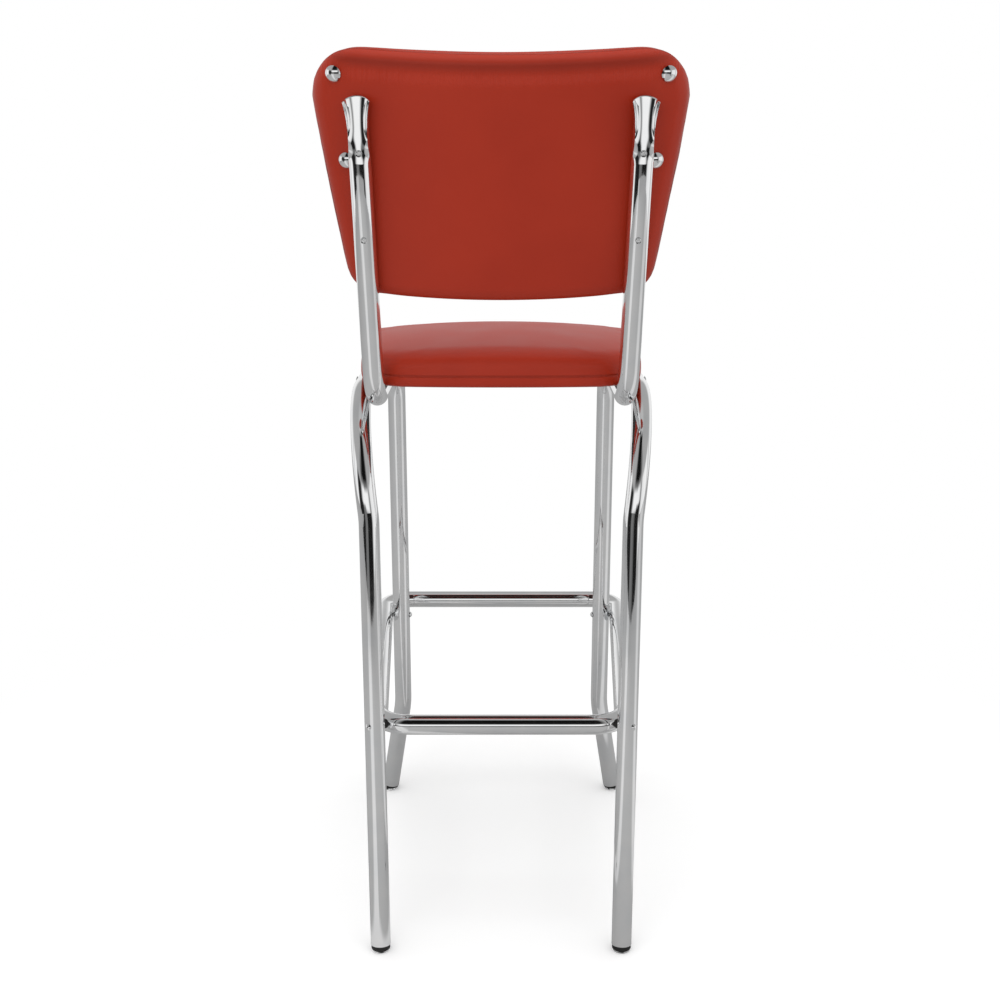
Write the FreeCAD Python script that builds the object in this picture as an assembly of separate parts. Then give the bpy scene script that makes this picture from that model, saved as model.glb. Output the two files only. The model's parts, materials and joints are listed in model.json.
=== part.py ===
import FreeCAD, Part
import math
import os

os.makedirs("parts", exist_ok=True)
V = FreeCAD.Vector

# Diner counter stool. Millimetres, +Z up, the sitter faces -Y, left is +X.
# The origin is on the floor, midway between the rear feet and the front of the footrest.

# Tubing and general clearances
tube_od = 25.4
tube_wall = 1.6
tube_gap = 0.3
fit_gap = 0.1
seat_gap = 0.3

# Side frame tube: front foot, front leg, seat rail and back post in one bent length
front_foot_x = 177.5
front_leg_x = 153.7
front_foot_y = -205.7
front_leg_rake = 0.0473
kick_height = 150.0
kick_bend_radius = 160.0
rail_height = 694.0
rail_rear_x = 154.6
rail_rear_y = 162.0
front_bend_radius = 60.0
rear_bend_radius = 50.0
post_lean = 12.5
post_splay = 1.04
post_length = 363.5

# Pressed scoop at the top of the post, measured down from its end
scoop_mouth = 15.7
scoop_throat = 12.2
scoop_length = 52.0
scoop_ramp = 22.0
scoop_metal = 3.4
scoop_tip_radius = 30.0
ramp_foot = post_length - scoop_length - scoop_ramp

# Rear leg tube: rear foot, leg, and a rail that lies outside the side frame's rail
rear_foot_x = 153.7
rear_foot_y = 260.6
rear_leg_rake = 0.1214
rear_leg_splay = 0.016
flare_rise = 9.7
flare_bend_radius = 150.0
knee_x = 179.3
knee_bend_radius = 150.0
rear_rail_drop = 2.7
rear_rail_join_y = 40.0
rear_rail_bend_radius = 79.0
rear_rail_front_y = -140.0

# Footrest ring
ring_rear_y = 206.0
ring_rear_x = 156.6
ring_rear_z = 285.5
ring_front_y = -259.6
ring_front_z = 299.5
ring_bend_radius = 42.0

# Feet
glide_cap_height = 3.5
glide_cap_radius = 11.0
glide_gap_height = 8.0
glide_plug_length = 22.0
glide_flange_radius = 12.0
glide_stem_radius = 2.5
glide_stem_length = 12.0

# Seat pad outline, half widths and edges
seat_rear_y = 146.0
seat_rear_half = 171.0
seat_rear_bow = 9.0
seat_front_y = -216.0
seat_front_half = 199.0
seat_front_bow = 13.0
seat_side_bow = 2.5
seat_rear_corner = 72.0
seat_front_corner = 58.0
seat_crown_height = 50.0
seat_crown_radius = 1800.0
seat_top_roll = 17.0
seat_bottom_roll = 9.5
seat_board_thickness = 12.0
seat_hem = 30.0

# Back pad outline, measured up the lean from the rail
back_rear_radius = 620.0
back_thickness = 42.0
back_crown = 5.0
back_top = 414.5
back_top_dip = 6.7
back_top_half = 222.5
back_bottom = 133.0
back_bottom_drop = 7.3
back_bottom_half = 179.0
back_side_bow = 3.0
back_top_corner = 56.0
back_bottom_corner = 34.0
back_front_roll = 17.0
back_rear_roll = 14.0
back_post_gap = 0.75
back_board_thickness = 11.0
back_rear_foam = 8.0

# Upholstery
vinyl = 1.2
foam_gap = 0.2

# Fasteners
post_screw_upper = 302.8
post_screw_lower = 204.2
upper_screw_depth = 1.2
lower_screw_sink = 0.9
post_screw_room = 0.6
post_screw_radius = 2.4
post_screw_head = 3.3
post_screw_grip = 20.0
dome_radius = 9.2
dome_height = 4.6
dome_shank_radius = 2.2
dome_shank_length = 17.0
dome_upper_inset = 34.5
dome_upper_rise = 384.6
dome_lower_inset = 44.5
dome_lower_rise = 288.7
seat_bolt_radius = 3.0
seat_bolt_head = 5.5
seat_bolt_rear_y = 62.0
seat_bolt_front_y = -92.0
tee_flange_radius = 9.0
tee_flange_thickness = 1.5
tee_barrel_radius = 4.2
tee_barrel_length = 9.0
rail_bolt_radius = 3.0
rail_bolt_head = 5.2
rail_bolt_rear_y = -4.0
rail_bolt_front_y = -124.0
nut_radius = 5.4
nut_height = 4.5
ring_bolt_radius = 2.8
ring_bolt_head = 4.6
ring_bolt_height = 297.0
cap_nut_radius = 4.4
cap_nut_height = 3.4
ring_screw_height = 292.0
ring_screw_head = 4.2
spacer_radius = 6.0
screw_head_height = 2.2
hole_gap = 0.15

tube_radius = tube_od / 2
bore_radius = tube_radius - tube_wall
slice_size = 1200.0
flare_height = rail_height - rear_rail_drop - knee_bend_radius + flare_rise


def bent_path(points, radii):
    """Straight runs joined by tangent arcs, one radius for each inner point."""
    edges = []
    start = points[0]
    for i in range(1, len(points) - 1):
        back = (points[i - 1] - points[i]).normalize()
        ahead = (points[i + 1] - points[i]).normalize()
        half_turn = (math.pi - back.getAngle(ahead)) / 2
        tangent = radii[i - 1] * math.tan(half_turn)
        bisector = (back + ahead).normalize()
        middle = points[i] + bisector * (radii[i - 1] / math.cos(half_turn) - radii[i - 1])
        arc_start = points[i] + back * tangent
        arc_end = points[i] + ahead * tangent
        edges.append(Part.LineSegment(start, arc_start).toShape())
        edges.append(Part.Arc(arc_start, middle, arc_end).toShape())
        start = arc_end
    edges.append(Part.LineSegment(start, points[-1]).toShape())
    return Part.Wire(edges)


def swept(path, points, radius):
    """Round bar of the given radius along a bent path."""
    along = points[1] - points[0]
    circle = Part.Wire([Part.Circle(points[0], along, radius).toShape()])
    return path.makePipe(Part.Face(circle))


def rod(start, direction, radius, length):
    return Part.makeCylinder(radius, length, start, direction)


def mirrored(shape):
    return shape.mirror(V(0, 0, 0), V(1, 0, 0))


def both_sides(shape):
    return [shape, mirrored(shape)]


def turned(profile, base, direction):
    """Revolve (radius, height) points round Z, then stand the solid on base along direction."""
    points = [V(r, 0, h) for r, h in profile]
    wire = Part.makePolygon(points + [points[0]])
    solid = Part.Face(wire).revolve(V(0, 0, 0), V(0, 0, 1), 360)
    turn = FreeCAD.Rotation(V(0, 0, 1), direction)
    solid.Placement = FreeCAD.Placement(base, turn)
    return solid


def domed(radius, height, base, direction):
    """Low dome with its flat face on base."""
    ball = (radius * radius + height * height) / (2 * height)
    cap = Part.makeSphere(ball, V(0, 0, height - ball))
    cap = cap.common(Part.makeCylinder(radius + 1, height + 1))
    cap.Placement = FreeCAD.Placement(base, FreeCAD.Rotation(V(0, 0, 1), direction))
    return cap


def screw(base, direction, head_radius, head_height, shank_radius, shank_length):
    """Domed head above base, shank below it; direction points out of the head."""
    head = domed(head_radius, head_height, base, direction)
    shank = rod(base, direction * -1, shank_radius, shank_length)
    return head.fuse(shank).removeSplitter()


def save(node, shape):
    solids = shape.Solids
    body = solids[0] if len(solids) == 1 else Part.makeCompound(solids)
    body.exportStep("parts/%s.step" % node)
    print("%-24s %2d solids %10.1f mm3 valid %s" % (node, len(solids), body.Volume, body.isValid()))


def save_pair(node, shape):
    save("left_" + node, shape)
    save("right_" + node, mirrored(shape))


# Lines that the tubes follow
def front_leg_at(z):
    return V(front_leg_x, front_foot_y + front_leg_rake * z, z)


def front_foot_at(z):
    """Axis of the kicked-out foot of the front leg."""
    share = (kick_height - z) / kick_height
    return V(front_leg_x + (front_foot_x - front_leg_x) * share, front_foot_y + front_leg_rake * z, z)


def rear_leg_at(z):
    return V(rear_foot_x + rear_leg_splay * z, rear_foot_y - rear_leg_rake * z, z)


lean = math.radians(post_lean)
lean_up = V(0, math.sin(lean), math.cos(lean))
lean_back = V(0, math.cos(lean), -math.sin(lean))
post_foot = V(rail_rear_x, rail_rear_y, rail_height)
back_base = V(0, rail_rear_y, rail_height)
post_along = (lean_up + V(math.tan(math.radians(post_splay)), 0, 0)).normalize()
rail_front = front_leg_at(rail_height)
rail_slope_x = (rail_rear_x - front_leg_x) / (rail_rear_y - rail_front.y)
rail_bolt_height = rail_height - rear_rail_drop / 2


def rail_x(y):
    return front_leg_x + rail_slope_x * (y - rail_front.y)


def outer_rail_x(y):
    """The outer rail lies against the inner one, a little lower."""
    return rail_x(y) + math.sqrt((tube_od + tube_gap) ** 2 - rear_rail_drop ** 2)


def post_at(rise):
    return post_foot + post_along * (rise / math.cos(math.radians(post_splay)))


def tube_end(foot_line):
    """Lower end of a leg tube, cut square just above its glide."""
    return foot_line(glide_gap_height)


# Side frame tube with its scooped post top
def scoop_section(rise, rim, rim_depth, back_depth, floor_depth):
    """Closed section across the post: front wall, two rounded rims and the rear wall."""
    centre = post_at(rise)

    def at(x, depth):
        return centre + V(x, 0, 0) + lean_back * depth

    lip = scoop_metal / 2
    tuck = 0.25 * lip if floor_depth < rim_depth else 0.0
    front = Part.Arc(at(-rim, rim_depth - lip), at(0, back_depth), at(rim, rim_depth - lip))
    rear = Part.Arc(at(rim - tuck, rim_depth + lip), at(0, floor_depth), at(tuck - rim, rim_depth + lip))
    swell = 0.12 * lip
    right = Part.Arc(at(rim, rim_depth - lip), at(rim + swell, rim_depth), at(rim - tuck, rim_depth + lip))
    left = Part.Arc(at(tuck - rim, rim_depth + lip), at(-rim - swell, rim_depth), at(-rim, rim_depth - lip))
    return Part.Wire([c.toShape() for c in (front, right, rear, left)])


def scooped_top():
    """Flattened, flared and hollowed end of the post, rounded at the tip."""
    ramp_top = post_length - scoop_length
    lip = scoop_metal / 2
    round_rim = math.sqrt(tube_radius ** 2 - lip ** 2)
    floor = scoop_metal - tube_radius
    sections = [
        scoop_section(ramp_foot, round_rim, 0.0, -tube_radius, tube_radius),
        scoop_section(ramp_foot + scoop_ramp * 0.35, round_rim, 0.4, -tube_radius, 8.5),
        scoop_section(ramp_foot + scoop_ramp * 0.75, scoop_throat, 1.6, -tube_radius, -1.5),
        scoop_section(ramp_top, scoop_throat, 2.6, -tube_radius, floor + 2.0),
        scoop_section(ramp_top + scoop_length * 0.45, scoop_throat + 0.8, 3.4, -tube_radius, floor + 0.5),
        scoop_section(post_length, scoop_mouth, 4.0, -tube_radius, floor),
    ]
    scoop = Part.makeLoft(sections, True, False)
    tip = post_at(post_length - scoop_tip_radius) - lean_back * tube_od
    trim = rod(tip, lean_back, scoop_tip_radius, 2 * tube_od)
    below = rod(post_at(ramp_foot - 1), post_along, 2 * tube_od, post_length - ramp_foot - scoop_tip_radius)
    return scoop.common(trim.fuse(below))


def side_frame_points():
    return [
        tube_end(front_foot_at),
        front_leg_at(kick_height),
        rail_front,
        post_foot,
        post_at(ramp_foot),
    ]


def post_screw_seat(rise):
    """Where a post screw's head sits, and its axis."""
    depth = upper_screw_depth if rise == post_screw_upper else tube_radius - lower_screw_sink
    return post_at(rise) + lean_back * depth


def side_frame_tube():
    points = side_frame_points()
    path = bent_path(points, [kick_bend_radius, front_bend_radius, rear_bend_radius])
    tube = swept(path, points, tube_radius).cut(swept(path, points, bore_radius))
    tube = tube.fuse(scooped_top())
    for rise in (post_screw_upper, post_screw_lower):
        seat = post_screw_seat(rise)
        tube = tube.cut(rod(seat, lean_back, post_screw_head + post_screw_room, tube_od))
        tube = tube.cut(rod(seat, lean_back * -1, post_screw_radius + hole_gap, tube_od))
    for cutter in frame_bolt_holes():
        tube = tube.cut(cutter)
    return tube


# Rear leg tube
def rear_leg_points():
    """Foot, where the leg starts to flare, knee, where it meets the rail, and the rail's front end."""
    height = rail_height - rear_rail_drop
    knee = rear_leg_at(height)
    knee.x = knee_x
    join = V(outer_rail_x(rear_rail_join_y), rear_rail_join_y, height)
    front = V(outer_rail_x(rear_rail_front_y), rear_rail_front_y, height)
    return [tube_end(rear_leg_at), rear_leg_at(flare_height), knee, join, front]


def rear_leg_tube():
    points = rear_leg_points()
    path = bent_path(points, [flare_bend_radius, knee_bend_radius, rear_rail_bend_radius])
    tube = swept(path, points, tube_radius).cut(swept(path, points, bore_radius))
    for cutter in rear_leg_holes():
        tube = tube.cut(cutter)
    return tube


# Footrest ring
def ring_z(y):
    return ring_rear_z + (ring_front_z - ring_rear_z) * (ring_rear_y - y) / (ring_rear_y - ring_front_y)


bolt_leg = front_leg_at(ring_bolt_height)
ring_leg_x = bolt_leg.x + tube_od + tube_gap
ring_slope = (ring_leg_x - ring_rear_x) / (ring_rear_y - bolt_leg.y)
ring_front_x = ring_rear_x + ring_slope * (ring_rear_y - ring_front_y)


def ring_points():
    return [
        V(0, ring_rear_y, ring_rear_z),
        V(ring_rear_x, ring_rear_y, ring_rear_z),
        V(ring_front_x, ring_front_y, ring_front_z),
        V(0, ring_front_y, ring_front_z),
    ]


def ring_screw_line():
    """Axis from the rear leg to the middle of the ring's rear bend, and the gap between the tubes."""
    leg = rear_leg_at(ring_screw_height)
    corner = V(ring_rear_x, ring_rear_y, ring_rear_z)
    side = (V(ring_front_x, ring_front_y, ring_front_z) - corner).normalize()
    inward = V(-1, 0, 0)
    half_turn = (math.pi - side.getAngle(inward)) / 2
    bisector = (side + inward).normalize()
    centre = corner + bisector * (ring_bend_radius / math.cos(half_turn))
    flat = V(centre.x - leg.x, centre.y - leg.y, 0)
    reach = flat.Length - ring_bend_radius
    ring_middle = V(leg.x, leg.y, 0) + flat.normalize() * reach
    ring_middle.z = ring_z(ring_middle.y)
    return leg, (ring_middle - leg).normalize(), (ring_middle - leg).Length


def footrest_ring():
    points = ring_points()
    path = bent_path(points, [ring_bend_radius, ring_bend_radius])
    half = swept(path, points, tube_radius).cut(swept(path, points, bore_radius))
    ring = half.fuse(mirrored(half)).removeSplitter()
    leg, toward, reach = ring_screw_line()
    across = rod(bolt_leg - V(tube_od, 0, 0), V(1, 0, 0), ring_bolt_radius + hole_gap, 3 * tube_od)
    inward = rod(leg, toward, ring_bolt_radius + hole_gap, reach)
    for cutter in both_sides(across) + both_sides(inward):
        ring = ring.cut(cutter)
    return ring


# Bolts, screws and nuts of the frame
def frame_bolt_holes():
    """Holes through the side frame tube for the seat bolts, rail bolts and footrest bolt."""
    holes = []
    for y in (seat_bolt_rear_y, seat_bolt_front_y):
        below = V(rail_x(y), y, rail_height - tube_od)
        holes.append(rod(below, V(0, 0, 1), seat_bolt_radius + hole_gap, 2 * tube_od))
    for y in (rail_bolt_rear_y, rail_bolt_front_y):
        inside = V(rail_x(y) - tube_od, y, rail_bolt_height)
        holes.append(rod(inside, V(1, 0, 0), rail_bolt_radius + hole_gap, 2 * tube_od))
    leg_side = bolt_leg - V(tube_od, 0, 0)
    holes.append(rod(leg_side, V(1, 0, 0), ring_bolt_radius + hole_gap, 2 * tube_od))
    return holes


def rear_leg_holes():
    holes = []
    for y in (rail_bolt_rear_y, rail_bolt_front_y):
        inside = V(outer_rail_x(y) - tube_od, y, rail_bolt_height)
        holes.append(rod(inside, V(1, 0, 0), rail_bolt_radius + hole_gap, 2 * tube_od))
    leg, toward, _ = ring_screw_line()
    holes.append(rod(leg - toward * tube_od, toward, ring_bolt_radius + hole_gap, 2 * tube_od))
    return holes


def nut(base, direction, radius, height, bore):
    """Hexagon nut with its seat on base."""
    corners = [V(radius * math.cos(math.radians(60 * k)), radius * math.sin(math.radians(60 * k)), 0)
               for k in range(7)]
    body = Part.Face(Part.makePolygon(corners)).extrude(V(0, 0, height))
    body = body.cut(Part.makeCylinder(bore, height))
    body.Placement = FreeCAD.Placement(base, FreeCAD.Rotation(V(0, 0, 1), direction))
    return body


def rail_bolts_and_nuts():
    """Bolts through both rails, head outside and nut inside."""
    bolts = []
    nuts = []
    for y in (rail_bolt_rear_y, rail_bolt_front_y):
        outside = V(outer_rail_x(y) + tube_radius + fit_gap, y, rail_bolt_height)
        inside = V(rail_x(y) - tube_radius - fit_gap, y, rail_bolt_height)
        length = outside.x - inside.x + nut_height + 1
        bolts.append(screw(outside, V(1, 0, 0), rail_bolt_head, screw_head_height, rail_bolt_radius, length))
        nuts.append(nut(inside, V(-1, 0, 0), nut_radius, nut_height, rail_bolt_radius + fit_gap))
    return Part.makeCompound(bolts), Part.makeCompound(nuts)


def ring_bolt_and_nut():
    tilt = ring_bolt_head * ring_slope
    outside = bolt_leg + V(tube_od + tube_gap + tube_radius + fit_gap + tilt, 0, 0)
    inside = bolt_leg - V(tube_radius + fit_gap, 0, 0)
    length = outside.x - inside.x + cap_nut_height / 2
    bolt = screw(outside, V(1, 0, 0), ring_bolt_head, screw_head_height, ring_bolt_radius, length)
    cap = domed(cap_nut_radius, cap_nut_height, inside, V(-1, 0, 0))
    cap = cap.cut(rod(inside, V(-1, 0, 0), ring_bolt_radius + fit_gap, cap_nut_height / 2 + fit_gap))
    return bolt, cap


def ring_screw_and_spacer():
    leg, toward, reach = ring_screw_line()
    leg_line = (rear_leg_at(ring_screw_height + tube_od) - leg).normalize()
    tilt = abs(toward.dot(leg_line))
    seat_reach = (tube_radius + fit_gap + ring_screw_head * tilt) / math.sqrt(1 - tilt ** 2)
    head_seat = leg - toward * seat_reach
    length = seat_reach + reach - tube_radius + 3 * tube_wall
    driven = screw(head_seat, toward * -1, ring_screw_head, screw_head_height, ring_bolt_radius, length)
    spacer = rod(leg, toward, spacer_radius, reach)
    spacer = spacer.cut(rod(leg, toward, ring_bolt_radius + fit_gap, reach))
    low = rear_leg_at(ring_screw_height - tube_od)
    high = rear_leg_at(ring_screw_height + tube_od)
    spacer = spacer.cut(rod(low, high - low, tube_radius + fit_gap, (high - low).Length))
    points = ring_points()
    path = bent_path(points, [ring_bend_radius, ring_bend_radius])
    return driven, spacer.cut(swept(path, points, tube_radius + fit_gap))


# Glides
def glide(foot_line):
    """Rubber insert in the tube's end and the plated cap under it."""
    end = foot_line(glide_gap_height)
    up = (foot_line(glide_gap_height + 10) - end).normalize()
    plug = rod(end - up * fit_gap, up, bore_radius - fit_gap, glide_plug_length)
    flange = rod(end - up * tube_radius, up, glide_flange_radius, tube_radius - fit_gap)
    ground = Part.makeBox(slice_size, slice_size, 100, V(-slice_size / 2, -slice_size / 2,
                                                         glide_cap_height + fit_gap - 100))
    centre = foot_line(0)
    insert = plug.fuse(flange).cut(ground)
    insert = insert.cut(rod(V(centre.x, centre.y, 0), V(0, 0, 1), glide_stem_radius + fit_gap,
                            glide_cap_height + glide_stem_length + fit_gap))
    profile = [
        (0, 0),
        (glide_cap_radius - 1.2, 0),
        (glide_cap_radius - 0.3, 0.5),
        (glide_cap_radius, 1.4),
        (glide_cap_radius - 0.3, 2.4),
        (glide_cap_radius - 1.6, glide_cap_height),
        (glide_stem_radius, glide_cap_height),
        (glide_stem_radius, glide_cap_height + glide_stem_length),
        (0, glide_cap_height + glide_stem_length),
    ]
    return insert, turned(profile, V(centre.x, centre.y, 0), V(0, 0, 1))


# Seat
seat_bottom = rail_height + tube_radius + seat_gap
seat_crown_top = seat_bottom + seat_crown_height


def bowed(a, b, bow):
    """Arc from a to b whose middle stands off the chord by the vector bow."""
    return Part.Arc(a, (a + b) * 0.5 + bow, b).toShape()


def seat_solid(inset):
    """Crowned cushion form, drawn in on every side by the inset."""
    rear = seat_rear_y - inset
    front = seat_front_y + inset
    base = seat_bottom + inset
    rl = V(seat_rear_half - inset, rear, base)
    rr = V(inset - seat_rear_half, rear, base)
    fl = V(seat_front_half - inset, front, base)
    fr = V(inset - seat_front_half, front, base)
    outline = Part.Wire([
        bowed(rl, rr, V(0, seat_rear_bow, 0)),
        bowed(rr, fr, V(-seat_side_bow, 0, 0)),
        bowed(fr, fl, V(0, -seat_front_bow, 0)),
        bowed(fl, rl, V(seat_side_bow, 0, 0)),
    ])
    block = Part.Face(outline).extrude(V(0, 0, seat_crown_height + 20))
    rear_corners = [e for e in block.Edges if at_corner(e, rl)]
    block = block.makeFillet(seat_rear_corner - inset, rear_corners)
    front_corners = [e for e in block.Edges if at_corner(e, fl)]
    block = block.makeFillet(seat_front_corner - inset, front_corners)
    ball_top = seat_crown_top - inset
    ball = Part.makeSphere(seat_crown_radius, V(0, 0, ball_top - seat_crown_radius))
    pad = block.common(ball)
    top_edges = [e for e in pad.Edges if e.BoundBox.ZMin > base + 5]
    pad = pad.makeFillet(seat_top_roll - inset, top_edges)
    bottom_edges = [e for e in pad.Edges if e.BoundBox.ZMax < base + 0.01]
    return pad.makeFillet(seat_bottom_roll - inset, bottom_edges)


def at_corner(edge, corner):
    """True for an upright edge over the given corner or its mirror image."""
    box = edge.BoundBox
    point = edge.Vertexes[0].Point
    upright = box.XLength < 0.01 and box.YLength < 0.01
    return upright and abs(point.y - corner.y) < 0.01 and abs(abs(point.x) - corner.x) < 0.01


def seat_parts():
    outer = seat_solid(0)
    inner = seat_solid(vinyl)
    filling = seat_solid(vinyl + foam_gap)
    board_top = seat_bottom + vinyl + foam_gap + seat_board_thickness
    opening = seat_opening()
    cover = outer.cut(inner).cut(opening)
    below = Part.makeBox(slice_size, slice_size, board_top, V(-slice_size / 2, -slice_size / 2, 0))
    foam_floor = Part.makeBox(slice_size, slice_size, board_top + foam_gap,
                              V(-slice_size / 2, -slice_size / 2, 0))
    board = filling.common(below)
    foam = filling.cut(foam_floor)
    for x, y in seat_bolt_places():
        deck = V(x, y, board_top - tee_flange_thickness - fit_gap)
        board = board.cut(rod(deck, V(0, 0, 1), tee_flange_radius + fit_gap, seat_board_thickness))
        board = board.cut(rod(V(x, y, 0), V(0, 0, 1), tee_barrel_radius + fit_gap, slice_size))
        cover = cover.cut(rod(V(x, y, 0), V(0, 0, 1), tee_barrel_radius + fit_gap, board_top))
    return board, foam, cover


def seat_opening():
    """Bare middle of the underside, inside the turned-under edge of the cover."""
    rear = seat_rear_y - seat_hem
    front = seat_front_y + seat_hem
    half_rear = seat_rear_half - seat_hem
    half_front = seat_front_half - seat_hem
    z = seat_bottom - 1
    outline = Part.makePolygon([V(half_rear, rear, z), V(-half_rear, rear, z), V(-half_front, front, z),
                                V(half_front, front, z), V(half_rear, rear, z)])
    block = Part.Face(outline).extrude(V(0, 0, vinyl + 1.1))
    return block.makeFillet(seat_front_corner - seat_hem, [e for e in block.Edges if e.BoundBox.ZLength > 1])


def seat_bolt_places():
    places = []
    for y in (seat_bolt_rear_y, seat_bolt_front_y):
        places += [(rail_x(y), y), (-rail_x(y), y)]
    return places


def seat_bolts_and_tees():
    bolts = []
    tees = []
    board_top = seat_bottom + vinyl + foam_gap + seat_board_thickness
    for x, y in seat_bolt_places():
        under = V(x, y, rail_height - tube_radius - fit_gap)
        length = board_top - fit_gap - under.z
        bolts.append(screw(under, V(0, 0, -1), seat_bolt_head, screw_head_height, seat_bolt_radius, length))
        deck = V(x, y, board_top - tee_flange_thickness)
        flange = rod(deck, V(0, 0, 1), tee_flange_radius, tee_flange_thickness)
        barrel = rod(deck, V(0, 0, -1), tee_barrel_radius, tee_barrel_length)
        bore = rod(V(x, y, 0), V(0, 0, 1), seat_bolt_radius + fit_gap, slice_size)
        tees.append(flange.fuse(barrel).cut(bore))
    return Part.makeCompound(bolts), Part.makeCompound(tees)


# Back
sag_at_post = back_rear_radius - math.sqrt(back_rear_radius ** 2 - post_at(back_bottom).x ** 2)
back_rear_depth = sag_at_post - tube_radius - back_post_gap
back_axis = back_base + lean_back * (back_rear_depth - back_rear_radius)


def back_place(x, rise, depth):
    return back_base + V(x, 0, 0) + lean_up * rise + lean_back * depth


def back_shell(rear_radius, front_radius, crown):
    """Part of a curved wall round the back's axis, the front face crowned by the given height."""
    low = back_bottom - 60
    high = back_top + 60
    middle = (low + high) / 2

    def at(radius, rise):
        return back_axis + lean_back * radius + lean_up * rise

    front = Part.LineSegment(at(front_radius, low), at(front_radius, high))
    if crown:
        front = Part.Arc(at(front_radius, low), at(front_radius - crown, middle), at(front_radius, high))
    profile = Part.Wire([
        Part.LineSegment(at(rear_radius, low), at(front_radius, low)).toShape(),
        front.toShape(),
        Part.LineSegment(at(front_radius, high), at(rear_radius, high)).toShape(),
        Part.LineSegment(at(rear_radius, high), at(rear_radius, low)).toShape(),
    ])
    half_angle = 35
    face = Part.Face(profile)
    face.rotate(back_axis, lean_up, -half_angle)
    return face.revolve(back_axis, lean_up, 2 * half_angle)


def back_solid(inset):
    """Curved pad with rounded corners and rolled edges, drawn in by the inset."""
    top = back_top - inset
    bottom = back_bottom + inset
    wide = back_top_half - inset
    narrow = back_bottom_half - inset
    start = back_rear_depth - back_rear_radius / 2
    tl = back_place(wide, top, start)
    tr = back_place(-wide, top, start)
    bl = back_place(narrow, bottom, start)
    br = back_place(-narrow, bottom, start)
    outline = Part.Wire([
        bowed(tl, tr, lean_up * -back_top_dip),
        bowed(tr, br, V(-back_side_bow, 0, 0)),
        bowed(br, bl, lean_up * -back_bottom_drop),
        bowed(bl, tl, V(back_side_bow, 0, 0)),
    ])
    block = Part.Face(outline).extrude(lean_back * back_rear_radius)
    block = block.makeFillet(back_top_corner - inset, back_corners(block, tl, tr))
    block = block.makeFillet(back_bottom_corner - inset, back_corners(block, bl, br))
    rear_radius = back_rear_radius - inset
    front_radius = back_rear_radius - back_thickness + inset
    pad = block.common(back_shell(rear_radius, front_radius, back_crown))
    middle_radius = (rear_radius + front_radius) / 2
    front_edges = [e for e in pad.Edges if edge_radius(e) < middle_radius and not crosses(e, middle_radius)]
    pad = pad.makeFillet(back_front_roll - inset, front_edges)
    rear_edges = [e for e in pad.Edges if abs(edge_radius(e) - rear_radius) < 0.05]
    return pad.makeFillet(back_rear_roll - inset, rear_edges)


def back_corners(block, a, b):
    """Long edges of the block that pass through the two given corners."""
    found = []
    for edge in block.Edges:
        ends = [v.Point for v in edge.Vertexes]
        if len(ends) == 2 and edge.Length > back_rear_radius / 2 and min(
                (p - c).Length for p in ends for c in (a, b)) < 0.01:
            found.append(edge)
    return found


def radius_of(point):
    offset = point - back_axis
    return math.hypot(offset.x, offset.dot(lean_back))


def edge_radius(edge):
    middle = edge.valueAt((edge.FirstParameter + edge.LastParameter) / 2)
    return radius_of(middle)


def crosses(edge, radius):
    ends = [radius_of(edge.valueAt(edge.FirstParameter)), radius_of(edge.valueAt(edge.LastParameter))]
    return min(ends) < radius < max(ends)


def dome_places():
    """Head seats of the dome screws on the rear of the pad, with the way each points."""
    places = []
    for inset, rise in ((dome_upper_inset, dome_upper_rise), (dome_lower_inset, dome_lower_rise)):
        x = back_top_half - inset
        out = V(x, 0, 0) + lean_back * math.sqrt(back_rear_radius ** 2 - x ** 2)
        out = out.normalize()
        places.append((back_axis + lean_up * rise + out * (back_rear_radius + fit_gap), out))
    return places


def back_holes():
    """Clearance for the dome screws and post screws in every layer of the pad."""
    holes = []
    for seat, out in dome_places():
        holes += both_sides(rod(seat, out * -1, dome_shank_radius + hole_gap, dome_shank_length + fit_gap + 0.2))
    for rise in (post_screw_upper, post_screw_lower):
        seat = post_screw_seat(rise)
        holes += both_sides(rod(seat, lean_back * -1, post_screw_radius + hole_gap,
                                post_screw_length(rise) + 0.2))
    return holes


def post_screw_length(rise):
    seat_depth = (post_screw_seat(rise) - back_base).dot(lean_back)
    return seat_depth + tube_radius + post_screw_grip


def back_parts():
    outer = back_solid(0)
    inner = back_solid(vinyl)
    filling = back_solid(vinyl + foam_gap)
    board_rear = back_rear_radius - vinyl - back_rear_foam
    board_front = board_rear - back_board_thickness
    board_zone = back_shell(board_rear, board_front, 0)
    front_zone = back_shell(board_front - foam_gap, board_front - 2 * back_thickness, 0)
    rear_zone = back_shell(board_rear + 2 * back_rear_foam, board_rear + foam_gap, 0)
    split = (board_rear + board_front) / 2
    cover = outer.cut(inner)
    front_half = back_shell(split - foam_gap / 2, split - 2 * back_thickness, 0)
    rear_half = back_shell(split + 2 * back_thickness, split + foam_gap / 2, 0)
    parts = {
        "back_board": filling.common(board_zone),
        "back_front_foam": filling.common(front_zone),
        "back_rear_foam": filling.common(rear_zone),
        "back_front_cover": cover.common(front_half),
        "back_rear_cover": cover.common(rear_half),
    }
    for node in ("back_board", "back_rear_foam", "back_rear_cover"):
        for hole in back_holes():
            parts[node] = parts[node].cut(hole)
    return parts


def dome_screws():
    solids = []
    for seat, out in dome_places():
        solids += both_sides(screw(seat, out, dome_radius, dome_height, dome_shank_radius, dome_shank_length))
    return Part.makeCompound(solids)


def post_screws():
    solids = []
    for rise in (post_screw_upper, post_screw_lower):
        seat = post_screw_seat(rise) + lean_back * fit_gap
        length = post_screw_length(rise)
        solids.append(screw(seat, lean_back, post_screw_head, screw_head_height, post_screw_radius, length))
    return Part.makeCompound(solids)


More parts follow.
